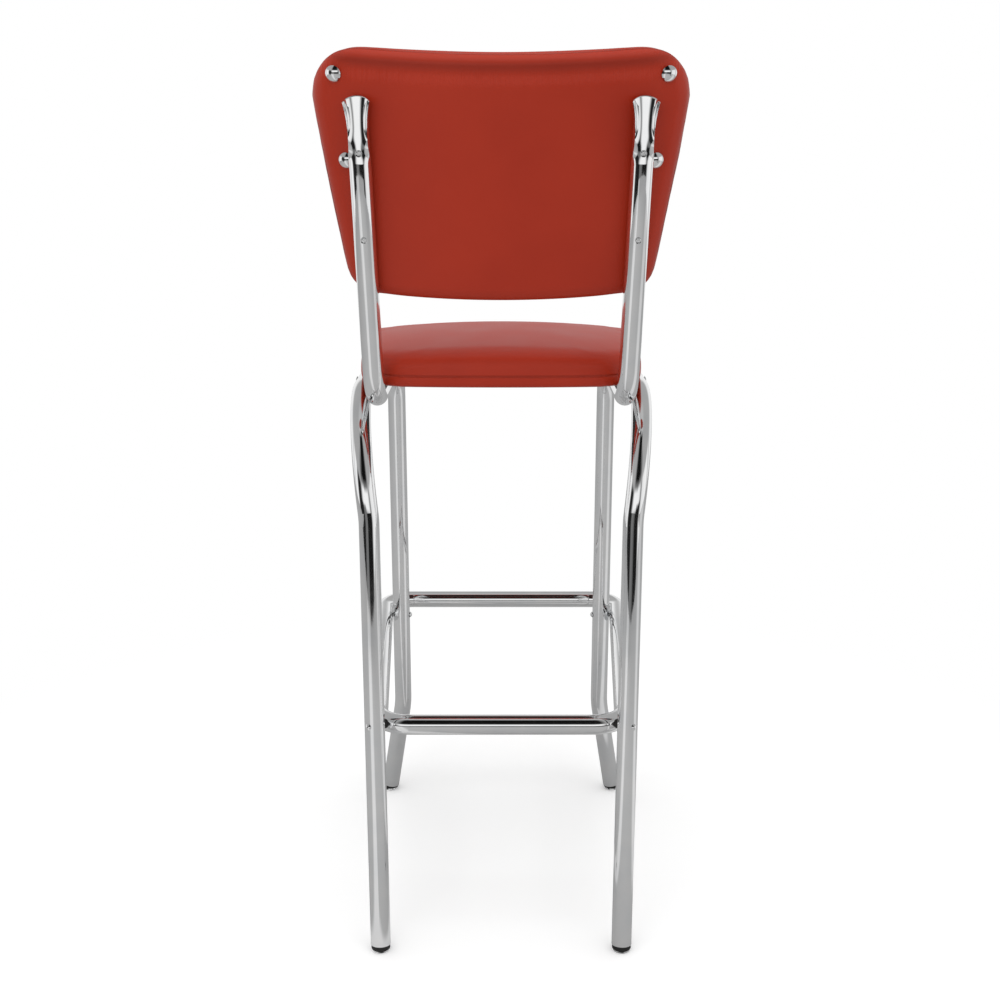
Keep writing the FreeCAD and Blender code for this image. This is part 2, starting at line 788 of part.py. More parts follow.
save_pair("frame_tube", side_frame_tube())
save_pair("rear_leg", rear_leg_tube())
save("footrest_ring", footrest_ring())

board, foam, cover = seat_parts()
save("seat_board", board)
save("seat_foam", foam)
save("seat_cover", cover)
bolts, tees = seat_bolts_and_tees()
save("seat_bolts", bolts)
save("seat_tee_nuts", tees)

for node, shape in back_parts().items():
    save(node, shape)
save("back_dome_screws", dome_screws())
save_pair("post_screws", post_screws())

bolts, nuts = rail_bolts_and_nuts()
save_pair("rail_bolts", bolts)
save_pair("rail_nuts", nuts)
bolt, cap = ring_bolt_and_nut()
save_pair("footrest_bolt", bolt)
save_pair("footrest_cap_nut", cap)
driven, spacer = ring_screw_and_spacer()
save_pair("footrest_screw", driven)
save_pair("footrest_spacer", spacer)

for corner, line in (("front_glide", front_foot_at), ("rear_glide", rear_leg_at)):
    insert, cap = glide(line)
    save_pair(corner + "_insert", insert)
    save_pair(corner + "_cap", cap)
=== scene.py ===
import json
import math
import bpy
import bmesh
from mathutils import Matrix, Vector


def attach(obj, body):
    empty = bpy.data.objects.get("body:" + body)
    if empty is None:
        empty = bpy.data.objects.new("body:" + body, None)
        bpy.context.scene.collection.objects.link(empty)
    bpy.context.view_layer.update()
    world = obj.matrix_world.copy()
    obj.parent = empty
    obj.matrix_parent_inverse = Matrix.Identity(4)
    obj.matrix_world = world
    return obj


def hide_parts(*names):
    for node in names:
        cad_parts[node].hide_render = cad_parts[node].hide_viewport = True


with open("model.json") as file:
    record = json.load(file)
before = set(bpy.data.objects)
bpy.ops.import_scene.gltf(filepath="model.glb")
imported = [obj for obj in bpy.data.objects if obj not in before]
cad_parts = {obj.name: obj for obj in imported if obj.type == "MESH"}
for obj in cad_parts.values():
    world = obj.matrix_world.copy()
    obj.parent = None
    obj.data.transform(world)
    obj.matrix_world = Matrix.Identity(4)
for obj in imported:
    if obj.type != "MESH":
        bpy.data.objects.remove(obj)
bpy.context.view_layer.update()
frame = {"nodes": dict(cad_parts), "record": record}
nodes = frame["nodes"]
scene = bpy.context.scene
print("frame loaded, nodes:", len(nodes))


# Colour and node helpers

# sRGB hex to linear RGBA
def hexColour(code):
    def linear(c):
        return c / 12.92 if c <= 0.04045 else ((c + 0.055) / 1.055) ** 2.4
    return tuple(linear(int(code[i:i + 2], 16) / 255) for i in (1, 3, 5)) + (1.0,)


# Add a node: links map an input to an output socket, settings are properties or input values
def addNode(tree, kind, links=None, **settings):
    node = tree.nodes.new(kind)
    for name, value in settings.items():
        if hasattr(node, name):
            setattr(node, name, value)
        else:
            node.inputs[name.replace("_", " ")].default_value = value
    for socket, output in (links or {}).items():
        tree.links.new(output, node.inputs[socket])
    return node


# Material with its output, its shader and Object coordinates ready to use
def newMaterial(name):
    material = bpy.data.materials.new(name)
    material.use_nodes = True
    tree = material.node_tree
    tree.nodes.clear()
    shader = tree.nodes.new("ShaderNodeBsdfPrincipled")
    output = tree.nodes.new("ShaderNodeOutputMaterial")
    tree.links.new(shader.outputs[0], output.inputs[0])
    place = addNode(tree, "ShaderNodeTexCoord").outputs["Object"]
    return material, tree, shader, place


# Colour ramp over stops of (position, grey or colour)
def ramp(tree, source, stops):
    node = addNode(tree, "ShaderNodeValToRGB", {0: source})
    while len(node.color_ramp.elements) < len(stops):
        node.color_ramp.elements.new(0.5)
    for element, (position, colour) in zip(node.color_ramp.elements, stops):
        element.position = position
        element.color = colour if isinstance(colour, tuple) else (colour, colour, colour, 1.0)
    return node.outputs[0]


# Materials

vinylValues = {
    "colour": "#ad2c10",
    "shade": "#a5280d",
    "roughness": 0.42,
    "grainMm": 0.9,
    "grainDepth": 0.00011,
    "grainStrength": 0.5,
    "mottleScale": 9.0,
    "puckerDepth": 0.0016,
    "puckerScale": (330.0, 14.0, 14.0),
    "seamHalf": 0.0024,
    "seamDepth": 0.0009,
    # Painted shade: share of the base colour kept in the seam groove and in the fold band
    "seamShade": 0.78,
    "foldShade": 0.72,
    "ior": 1.38,
}


# Calendered PVC cloth: a soft sheen broken by a fine pebbled grain, gathered where it rolls over an edge
def upholsteryVinyl():
    material, tree, shader, place = newMaterial("upholsteryVinyl")
    grainScale = 1.0 / (vinylValues["grainMm"] * 0.001)
    pebbles = addNode(tree, "ShaderNodeTexVoronoi", {"Vector": place}, Scale=grainScale, Randomness=1.0)
    fine = addNode(tree, "ShaderNodeTexNoise", {"Vector": place}, Scale=grainScale * 0.6, Detail=3.0)
    mottle = addNode(tree, "ShaderNodeTexNoise", {"Vector": place}, Scale=vinylValues["mottleScale"], Detail=2.0)
    height = addNode(tree, "ShaderNodeMath", {0: pebbles.outputs["Distance"], 1: fine.outputs[0]},
                     operation="ADD")
    grain = addNode(tree, "ShaderNodeBump", {"Height": height.outputs[0]},
                    Strength=vinylValues["grainStrength"], Distance=vinylValues["grainDepth"])
    # Gathers run across the rolled edge, and fade where the pucker attribute does
    stretch = addNode(tree, "ShaderNodeMapping", {"Vector": place}, Scale=vinylValues["puckerScale"])
    folds = addNode(tree, "ShaderNodeTexNoise", {"Vector": stretch.outputs[0]}, Scale=1.0, Detail=2.0)
    pucker = addNode(tree, "ShaderNodeAttribute", attribute_name="pucker")
    gathers = addNode(tree, "ShaderNodeMath", {0: folds.outputs[0], 1: pucker.outputs["Fac"]},
                      operation="MULTIPLY")
    creased = addNode(tree, "ShaderNodeBump", {"Height": gathers.outputs[0], "Normal": grain.outputs[0]},
                      Strength=1.0, Distance=vinylValues["puckerDepth"])
    seam = addNode(tree, "ShaderNodeAttribute", attribute_name="seam")
    off = addNode(tree, "ShaderNodeMath", {0: seam.outputs["Fac"]}, operation="ABSOLUTE")
    groove = addNode(tree, "ShaderNodeMapRange", {"Value": off.outputs[0]}, interpolation_type="SMOOTHSTEP",
                     From_Min=0.0, From_Max=vinylValues["seamHalf"], To_Min=0.0, To_Max=1.0)
    sewn = addNode(tree, "ShaderNodeBump", {"Height": groove.outputs[0], "Normal": creased.outputs[0]},
                   Strength=1.0, Distance=vinylValues["seamDepth"])
    base = ramp(tree, mottle.outputs[0], [
        (0.3, hexColour(vinylValues["shade"])),
        (0.7, hexColour(vinylValues["colour"])),
    ])
    # Painted shade: seam and fold are painted a little darker than the panels, where light reaches them less
    dark = addNode(tree, "ShaderNodeMapRange", {"Value": groove.outputs[0]}, To_Min=vinylValues["seamShade"],
                   To_Max=1.0)
    fold = addNode(tree, "ShaderNodeAttribute", attribute_name="fold")
    foldPaintedShade = addNode(tree, "ShaderNodeMapRange", {"Value": fold.outputs["Fac"]}, To_Min=1.0,
                     To_Max=vinylValues["foldShade"])
    dark = addNode(tree, "ShaderNodeMath", {0: dark.outputs[0], 1: foldPaintedShade.outputs[0]}, operation="MULTIPLY")
    # Base colour darkened by the painted shade
    baseWithPaintedShade = addNode(tree, "ShaderNodeVectorMath", {0: base}, operation="SCALE")
    tree.links.new(dark.outputs[0], baseWithPaintedShade.inputs["Scale"])
    rough = addNode(tree, "ShaderNodeMapRange", {"Value": mottle.outputs[0]}, From_Min=0.3, From_Max=0.7,
                    To_Min=vinylValues["roughness"] - 0.03, To_Max=vinylValues["roughness"] + 0.04)
    tree.links.new(baseWithPaintedShade.outputs[0], shader.inputs["Base Color"])
    tree.links.new(rough.outputs[0], shader.inputs["Roughness"])
    tree.links.new(sewn.outputs[0], shader.inputs["Normal"])
    shader.inputs["IOR"].default_value = vinylValues["ior"]
    return material


# Polished chromium plate over nickel on steel tube: near-mirror, with a trace of polishing haze
def brightChrome():
    material, tree, shader, place = newMaterial("brightChrome")
    haze = addNode(tree, "ShaderNodeTexNoise", {"Vector": place}, Scale=30.0, Detail=3.0)
    rough = addNode(tree, "ShaderNodeMapRange", {"Value": haze.outputs[0]}, From_Min=0.35, From_Max=0.7,
                    To_Min=0.035, To_Max=0.075)
    tint = ramp(tree, haze.outputs[0], [(0.35, hexColour("#f0f1f2")), (0.65, hexColour("#f6f6f6"))])
    tree.links.new(tint, shader.inputs["Base Color"])
    tree.links.new(rough.outputs[0], shader.inputs["Roughness"])
    shader.inputs["Metallic"].default_value = 1.0
    return material


# Zinc-plated steel: dull silver with a cloudy crystalline patch pattern
def zincPlate():
    material, tree, shader, place = newMaterial("zincPlate")
    cloud = addNode(tree, "ShaderNodeTexNoise", {"Vector": place}, Scale=180.0, Detail=3.0)
    base = ramp(tree, cloud.outputs[0], [(0.3, hexColour("#8e9092")), (0.7, hexColour("#b4b5b4"))])
    rough = addNode(tree, "ShaderNodeMapRange", {"Value": cloud.outputs[0]}, To_Min=0.3, To_Max=0.45)
    tree.links.new(base, shader.inputs["Base Color"])
    tree.links.new(rough.outputs[0], shader.inputs["Roughness"])
    shader.inputs["Metallic"].default_value = 1.0
    return material


# Black moulded rubber: matt, with a faint spark-eroded tool texture
def mouldedRubber():
    material, tree, shader, place = newMaterial("mouldedRubber")
    grit = addNode(tree, "ShaderNodeTexNoise", {"Vector": place}, Scale=1500.0, Detail=2.0)
    bump = addNode(tree, "ShaderNodeBump", {"Height": grit.outputs[0]}, Strength=0.4, Distance=0.00004)
    base = ramp(tree, grit.outputs[0], [(0.3, hexColour("#121212")), (0.7, hexColour("#1c1c1b"))])
    tree.links.new(base, shader.inputs["Base Color"])
    tree.links.new(bump.outputs[0], shader.inputs["Normal"])
    shader.inputs["Roughness"].default_value = 0.62
    return material


# Plywood stained black: nearly dark, with long soft grain lines along X that still catch the light
def stainedPlywood():
    material, tree, shader, place = newMaterial("stainedPlywood")
    stretch = addNode(tree, "ShaderNodeMapping", {"Vector": place}, Scale=(4.0, 60.0, 300.0))
    grain = addNode(tree, "ShaderNodeTexNoise", {"Vector": stretch.outputs[0]}, Scale=1.0, Detail=5.0)
    base = ramp(tree, grain.outputs[0], [(0.3, hexColour("#17120f")), (0.7, hexColour("#2a211b"))])
    bump = addNode(tree, "ShaderNodeBump", {"Height": grain.outputs[0]}, Strength=0.3, Distance=0.0002)
    tree.links.new(base, shader.inputs["Base Color"])
    tree.links.new(bump.outputs[0], shader.inputs["Normal"])
    shader.inputs["Roughness"].default_value = 0.6
    return material


finishes = {
    "red_vinyl": upholsteryVinyl(),
    "chrome_tube": brightChrome(),
    "zinc_steel": zincPlate(),
    "black_rubber": mouldedRubber(),
    "plywood": stainedPlywood(),
}
finishes["chrome_hardware"] = finishes["chrome_tube"]
finishes["foam"] = finishes["red_vinyl"]

for part in frame["record"]["subparts"]:
    mesh = nodes[part["node"]].data
    mesh.materials.clear()
    mesh.materials.append(finishes[part["material_slot"]])
print("materials made")

# The back and the posts lean away from the sitter
leanAngle = math.radians(12.5)
leanUp = Vector((0, math.sin(leanAngle), math.cos(leanAngle)))
leanBack = Vector((0, math.cos(leanAngle), -math.sin(leanAngle)))


# Padded pieces

# Mesh object at the origin, riding on the root body in place of the CAD nodes it stands for
def finishPiece(bm, name, slot, *replaced):
    mesh = bpy.data.meshes.new(name)
    bm.to_mesh(mesh)
    bm.free()
    piece = bpy.data.objects.new(name, mesh)
    scene.collection.objects.link(piece)
    mesh.materials.append(finishes[slot])
    mesh.shade_smooth()
    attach(piece, "root")
    if replaced:
        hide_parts(*replaced)
    return piece


# Turn the piece into the mesh that its modifiers give
def applyModifiers(piece):
    scene.view_layers[0].update()
    evaluated = piece.evaluated_get(bpy.context.evaluated_depsgraph_get())
    finished = bpy.data.meshes.new_from_object(evaluated)
    piece.modifiers.clear()
    old = piece.data
    piece.data = finished
    bpy.data.meshes.remove(old)


def remesh(piece, voxel):
    modifier = piece.modifiers.new("even", "REMESH")
    modifier.mode = "VOXEL"
    modifier.voxel_size = voxel
    applyModifiers(piece)


clothValues = {"steps": 20, "quality": 5, "stiffness": 25.0, "smoothing": 0.5, "smoothRounds": 2}


# Swell a closed pad like filled cloth, moving no point further than the cap; held points stay
def inflate(piece, pressure, cap, held):
    start = [v.co.copy() for v in piece.data.vertices]
    group = piece.vertex_groups.new(name="held")
    group.add([v.index for v in piece.data.vertices if held(v.co)], 1.0, "ADD")
    cloth = piece.modifiers.new("swell", "CLOTH")
    settings = cloth.settings
    settings.quality = clothValues["quality"]
    settings.use_pressure = True
    settings.uniform_pressure_force = pressure
    settings.tension_stiffness = clothValues["stiffness"]
    settings.compression_stiffness = clothValues["stiffness"]
    settings.effector_weights.gravity = 0.0
    settings.vertex_group_mass = "held"
    cloth.point_cache.frame_start = 1
    cloth.point_cache.frame_end = clothValues["steps"]
    for step in range(1, clothValues["steps"] + 1):
        scene.frame_set(step)
    applyModifiers(piece)
    scene.frame_set(1)
    for vertex, before in zip(piece.data.vertices, start):
        shift = vertex.co - before
        if shift.length > cap:
            vertex.co = before + shift * (cap / shift.length)


def smoothMesh(piece):
    bm = bmesh.new()
    bm.from_mesh(piece.data)
    for _ in range(clothValues["smoothRounds"]):
        bmesh.ops.smooth_vert(bm, verts=bm.verts, factor=clothValues["smoothing"], use_axis_x=True,
                              use_axis_y=True, use_axis_z=True)
    bm.to_mesh(piece.data)
    bm.free()


def subdivide(piece):
    modifier = piece.modifiers.new("finer", "SUBSURF")
    modifier.levels = 1
    modifier.render_levels = 1
    applyModifiers(piece)
    piece.data.shade_smooth()


padDetail = {"cornerSegments": 14, "sideCuts": 23, "rimSegments": 6}


# Pad from four corners, as (x, y) from rear left round to front left: rounded, bowed, then rolled rims
def padBlock(corners, depthLow, depthHigh, radii, bows, lowRoll, highRoll):
    bm = bmesh.new()
    low = [bm.verts.new((x, y, depthLow)) for x, y in corners]
    face = bm.faces.new(low)
    made = bmesh.ops.extrude_face_region(bm, geom=[face])
    high = [v for v in made["geom"] if isinstance(v, bmesh.types.BMVert)]
    bmesh.ops.translate(bm, verts=high, vec=(0, 0, depthHigh - depthLow))
    bmesh.ops.recalc_face_normals(bm, faces=bm.faces)
    middle = sum((Vector(c) for c in corners), Vector((0, 0))) / 4
    half = [max(abs(c[0] - middle.x) for c in corners), max(abs(c[1] - middle.y) for c in corners)]
    for sign, radius in ((1, radii[0]), (-1, radii[1])):
        upright = [e for e in bm.edges if abs(e.verts[0].co.x - e.verts[1].co.x) < 1e-5
                   and abs(e.verts[0].co.y - e.verts[1].co.y) < 1e-5
                   and sign * (e.verts[0].co.y - middle.y) > 0.3 * half[1]
                   and any((e.verts[0].co.xy - Vector(c)).length < 1e-4 for c in corners)]
        bmesh.ops.bevel(bm, geom=upright, offset=radius, offset_type="OFFSET",
                        segments=padDetail["cornerSegments"], profile=0.5, affect="EDGES", material=-1)
    longEdges = [e for e in bm.edges if e.calc_length() > 0.1 and abs(e.verts[0].co.z - e.verts[1].co.z) < 1e-5]
    bmesh.ops.subdivide_edges(bm, edges=longEdges, cuts=padDetail["sideCuts"])
    rear, side, front = bows
    for vertex in bm.verts:
        u = (vertex.co.x - middle.x) / half[0]
        v = (vertex.co.y - middle.y) / half[1]
        share = rear * max(v, 0) - front * max(-v, 0)
        vertex.co.y += share * (1 - u * u)
        vertex.co.x += side * (1 - v * v) * u
    rims = [[e for e in bm.edges if all(abs(v.co.z - z) < 1e-6 for v in e.verts) and len(e.link_faces) == 2]
            for z in (depthLow, depthHigh)]
    for rim, roll in zip(rims, (lowRoll, highRoll)):
        bmesh.ops.bevel(bm, geom=rim, offset=roll, offset_type="OFFSET",
                        segments=padDetail["rimSegments"], profile=0.5, affect="EDGES", material=-1)
    bmesh.ops.triangulate(bm, faces=[f for f in bm.faces if len(f.verts) > 4])
    return bm


seatPad = {
    "shrink": -0.0012,
    "rearY": 0.146, "rearHalf": 0.171, "rearBow": 0.009, "rearCorner": 0.0585,
    "frontY": -0.216, "frontHalf": 0.199, "frontBow": 0.013, "frontCorner": 0.0535,
    "sideBow": 0.0025,
    "bottom": 0.707, "crown": 0.050, "crownRadius": 1.8,
    "topRoll": 0.018, "bottomRoll": 0.0055,
    "voxel": 0.0045, "pressure": 2.0, "cap": 0.0012,
    "hem": 0.030, "seam": 0.0152,
    "lift": 0.0004, "heldHeight": 0.002, "openBelow": 0.0015,
}


# Store layers for the vinyl: distance from a sewn seam, how gathered the cloth is, and how much painted shade
# darkens the cloth in a fold
def markCloth(piece, seams, puckers=None, folds=None):
    blank = [0.0] * len(seams)
    for name, values in (("seam", seams), ("pucker", puckers or blank), ("fold", folds or blank)):
        layer = piece.data.attributes.new(name, "FLOAT", "POINT")
        layer.data.foreach_set("value", values)


def buildSeat():
    s = seatPad
    d = s["shrink"]
    corners = [
        (s["rearHalf"] - d, s["rearY"] - d),
        (d - s["rearHalf"], s["rearY"] - d),
        (d - s["frontHalf"], s["frontY"] + d),
        (s["frontHalf"] - d, s["frontY"] + d),
    ]
    bm = padBlock(corners, s["bottom"] + s["lift"], s["bottom"] + s["crown"] - d,
                  (s["rearCorner"] - d, s["frontCorner"] - d), (s["rearBow"], s["sideBow"], s["frontBow"]),
                  s["bottomRoll"] - d / 2, s["topRoll"] - d)
    pad = finishPiece(bm, "seatPad", "red_vinyl", "seat_cover", "seat_foam")
    remesh(pad, s["voxel"])
    for vertex in pad.data.vertices:
        rise = vertex.co.z - s["bottom"]
        drop = (vertex.co.x ** 2 + vertex.co.y ** 2) / (2 * s["crownRadius"])
        vertex.co.z = s["bottom"] + rise * (1 - drop / s["crown"])
    inflate(pad, s["pressure"], s["cap"], held=lambda p: p.z < s["bottom"] + s["heldHeight"])
    smoothMesh(pad)
    for vertex in pad.data.vertices:
        vertex.co.z = max(vertex.co.z, s["bottom"])
    openUnderside(pad)
    subdivide(pad)
    markCloth(pad, [v.co.z - s["bottom"] - s["seam"] for v in pad.data.vertices])


# Leave the board bare inside the turned-under edge, as a cover stapled to it does
def openUnderside(pad):
    s = seatPad
    bm = bmesh.new()
    bm.from_mesh(pad.data)
    edge = s["hem"]
    slope = (s["frontHalf"] - s["rearHalf"]) / (s["rearY"] - s["frontY"])
    cuts = [
        (Vector((0, s["rearY"] - edge, 0)), Vector((0, 1, 0))),
        (Vector((0, s["frontY"] + edge, 0)), Vector((0, -1, 0))),
        (Vector((s["rearHalf"] - edge, s["rearY"], 0)), Vector((1, slope, 0))),
        (Vector((edge - s["rearHalf"], s["rearY"], 0)), Vector((-1, slope, 0))),
    ]
    level = s["bottom"] + s["openBelow"]
    for place, outward in cuts:
        under = [f for f in bm.faces if f.calc_center_median().z < level]
        geom = list({v for f in under for v in f.verts}) + list({e for f in under for e in f.edges}) + under
        bmesh.ops.bisect_plane(bm, geom=geom, plane_co=place, plane_no=outward, dist=1e-5)
    inside = [f for f in bm.faces if f.calc_center_median().z < level
              and all((f.calc_center_median() - place).dot(outward) < 0 for place, outward in cuts)]
    bmesh.ops.delete(bm, geom=inside, context="FACES")
    bm.to_mesh(pad.data)
    bm.free()


backPad = {
    "shrink": -0.0004, "rearShare": 0.4,
    "lean": leanAngle, "baseY": 0.162, "baseZ": 0.694,
    "rearDepth": 0.00668, "rearRadius": 0.620, "thickness": 0.042,
    "top": 0.4145, "topHalf": 0.2235, "topDip": 0.0067, "topCorner": 0.0665,
    "bottom": 0.133, "bottomHalf": 0.179, "bottomDrop": 0.0073, "bottomCorner": 0.0258,
    "sideBow": 0.003,
    "frontRoll": 0.019, "rearRoll": 0.0165,
    "voxel": 0.004, "pressure": 2.0, "cap": 0.0012,
    "held": -0.016, "seam": -0.0147, "foldDrop": 0.0185, "foldWidth": 0.0075, "foldDepth": 0.0032,
    "foldFrom": -0.010, "foldInset": 0.030, "sideFade": 0.030,
    "gatherDrop": 0.024, "gatherWidth": 0.008, "gatherRound": 0.014, "gatherShare": 0.8,
    # Painted shade band under the top roll: drop, width, depth it starts from, inset from the corners
    "shadeDrop": 0.0105, "shadeWidth": 0.0055, "shadeFrom": -0.012, "shadeInset": 0.012,
    "domes": ((0.188, 0.3846), (0.178, 0.2887)), "dimpleReach": 0.016, "dimpleDepth": 0.0014,
}


# Pad space (x, rise up the lean, depth behind the rear face) to the row frame, curved round the sitter
def backPoint(x, rise, depth):
    b = backPad
    ring = b["rearRadius"] + depth
    turn = math.asin(x / ring)
    along = ring * math.cos(turn) - b["rearRadius"] + b["rearDepth"]
    lean = b["lean"]
    return Vector((ring * math.sin(turn),
                   b["baseY"] + rise * math.sin(lean) + along * math.cos(lean),
                   b["baseZ"] + rise * math.cos(lean) - along * math.sin(lean)))


# The way back: how far a point of the row frame lies behind the pad's rear face, and its rise
def backDepth(point):
    b = backPad
    y = point.y - b["baseY"]
    z = point.z - b["baseZ"]
    along = y * math.cos(b["lean"]) - z * math.sin(b["lean"])
    rise = y * math.sin(b["lean"]) + z * math.cos(b["lean"])
    return math.hypot(point.x, along - b["rearDepth"] + b["rearRadius"]) - b["rearRadius"], rise


def bell(distance, width):
    return math.exp(-(distance / width) ** 2)


# 1 over the middle of the back, fading to 0 at the inset from its top corners
def fadeAcross(x, inset):
    return min(max((backPad["topHalf"] - inset - abs(x)) / backPad["sideFade"], 0.0), 1.0)


def buildBack():
    b = backPad
    d = b["shrink"]
    corners = [
        (b["topHalf"] - d, b["top"] - d),
        (d - b["topHalf"], b["top"] - d),
        (d - b["bottomHalf"], b["bottom"] + d),
        (b["bottomHalf"] - d, b["bottom"] + d),
    ]
    bm = padBlock(corners, d - b["thickness"], -d * b["rearShare"], (b["topCorner"] - d, b["bottomCorner"] - d),
                  (-b["topDip"], b["sideBow"], b["bottomDrop"]), b["frontRoll"] - d, b["rearRoll"] - d)
    pad = finishPiece(bm, "backPad", "red_vinyl", "back_front_cover", "back_rear_cover", "back_front_foam",
                      "back_rear_foam")
    remesh(pad, b["voxel"])
    for vertex in pad.data.vertices:
        vertex.co = backPoint(*vertex.co)
    inflate(pad, b["pressure"], b["cap"], held=lambda p: backDepth(p)[0] > b["held"])
    smoothMesh(pad)
    subdivide(pad)
    domes = [backPoint(side * x, rise, 0) for x, rise in b["domes"] for side in (1, -1)]
    for dome in domes:
        dimple(pad, dome, b["dimpleReach"], b["dimpleDepth"])
    places = [backDepth(v.co) for v in pad.data.vertices]
    drops = [b["top"] - b["topDip"] * (1 - (v.co.x / b["topHalf"]) ** 2) - rise
             for v, (_, rise) in zip(pad.data.vertices, places)]
    for vertex, (depth, _), drop in zip(pad.data.vertices, places, drops):
        if depth > b["foldFrom"]:
            fold = bell(drop - b["foldDrop"], b["foldWidth"])
            vertex.co -= leanBack * b["foldDepth"] * fadeAcross(vertex.co.x, b["foldInset"]) * fold
    puckers = []
    shades = []
    for vertex, (depth, _), drop in zip(pad.data.vertices, places, drops):
        near = min((vertex.co - dome).length for dome in domes)
        puckers.append(max(bell(drop - b["gatherDrop"], b["gatherWidth"]),
                           b["gatherShare"] * bell(near, b["gatherRound"])))
        # Painted shade: a darker band of cloth just under the top roll, across the middle of the back
        shade = bell(drop - b["shadeDrop"], b["shadeWidth"]) * fadeAcross(vertex.co.x, b["shadeInset"])
        shades.append(shade if depth > b["shadeFrom"] else 0.0)
    markCloth(pad, [depth - b["seam"] for depth, _ in places], puckers, shades)


# Press the cloth in round a screw head
def dimple(pad, centre, reach, depth):
    for vertex in pad.data.vertices:
        away = (vertex.co - centre).length
        if away < 3 * reach:
            vertex.co -= leanBack * depth * bell(away, reach)


# Side frame tubes, with the pressed scoop at the top of each post

tubeValues = {
    "radius": 0.0127,
    "footX": 0.1775, "legX": 0.1537, "footY": -0.2057, "rake": 0.0473, "footEnd": 0.008, "kick": 0.150,
    "rail": 0.694, "railX": 0.1546, "railY": 0.162, "bends": (0.160, 0.060, 0.050),
    "splay": math.radians(1.04),
    "post": 0.3635, "scoop": 0.074, "metal": 0.0034, "tip": 0.030,
    "tuckShare": 0.25, "swellShare": 0.12, "rimSteps": 5, "scoopSteps": 30, "tableEnd": 0.9999, "tipFrom": 0.6,
    "edgeRound": 0.0007, "crispAngle": math.radians(48),
    "screws": ((0.3028, 0.0064), (0.2042, 0.0107)), "screwHole": 0.0039, "holeLength": 0.02,
}

# Share of the way up the scoop, then its rims' half width and depth as shares of the tube's radius
scoopRims = ((0.0, 0.991, 0.0), (0.1, 0.965, 0.18), (0.21, 0.91, 0.42), (0.33, 0.88, 0.53), (0.52, 0.89, 0.50),
             (0.75, 1.01, 0.41), (1.0, 1.235, 0.315))


# Centres and directions along straight runs joined by tangent arcs
def bentPath(points, radii, arcSteps=20):
    stations = [(points[0], (points[1] - points[0]).normalized())]
    for before, corner, after, radius in zip(points, points[1:], points[2:], radii):
        inward = (corner - before).normalized()
        onward = (after - corner).normalized()
        turn = inward.angle(onward)
        axis = inward.cross(onward).normalized()
        start = corner - inward * (radius * math.tan(turn / 2))
        centre = start + axis.cross(inward) * radius
        for step in range(arcSteps + 1):
            spin = Matrix.Rotation(turn * step / arcSteps, 3, axis)
            stations.append((centre + spin @ (start - centre), spin @ inward))
    stations.append((points[-1], (points[-1] - points[-2]).normalized()))
    return stations


# Arc through (-half, edge) and (0, middle) to (half, edge), as (x, depth) pairs from left to right
def bowPoints(half, edge, middle, count=27):
    sag = edge - middle
    if abs(sag) < 1e-6:
        return [(half * (2 * k / (count - 1) - 1), edge) for k in range(count)]
    radius = (half * half + sag * sag) / (2 * abs(sag))
    reach = math.atan2(half, radius - abs(sag))
    turns = [reach * (2 * k / (count - 1) - 1) for k in range(count)]
    return [(radius * math.sin(t), middle + math.copysign(radius - radius * math.cos(t), sag)) for t in turns]


# Closed outline across the post: front wall, right rim, rear wall or trough floor, left rim
def postOutline(rim, rimDepth, floor, tuck):
    lip = tubeValues["metal"] / 2
    front = bowPoints(rim, rimDepth - lip, -tubeValues["radius"])
    rear = bowPoints(rim - tuck, rimDepth + lip, floor)[::-1]
    right = []
    steps = tubeValues["rimSteps"]
    for k in range(1, steps + 1):
        turn = math.pi * (k / (steps + 1) - 0.5)
        across = rim - tuck * (1 + math.sin(turn)) / 2 + tubeValues["swellShare"] * lip * math.cos(turn)
        right.append((across, rimDepth + lip * math.sin(turn)))
    left = [(-x, depth) for x, depth in reversed(right)]
    return front + right + rear + left


# Smooth value between the rows of a table, by Hermite curves
def eased(table, share, column):
    last = len(table) - 1
    i = max(k for k in range(last) if table[k][0] <= share)
    low, high = table[i], table[i + 1]
    width = high[0] - low[0]
    t = (share - low[0]) / width

    def slope(k):
        a, b = table[max(k - 1, 0)], table[min(k + 1, last)]
        return (b[column] - a[column]) / (b[0] - a[0])

    return ((1 + 2 * t) * (1 - t) ** 2 * low[column] + t * (1 - t) ** 2 * width * slope(i)
            + t * t * (3 - 2 * t) * high[column] + t * t * (t - 1) * width * slope(i + 1))


def postAt(rise):
    t = tubeValues
    return Vector((t["railX"] + rise * math.tan(t["splay"]), t["railY"], t["rail"])) + leanUp * rise


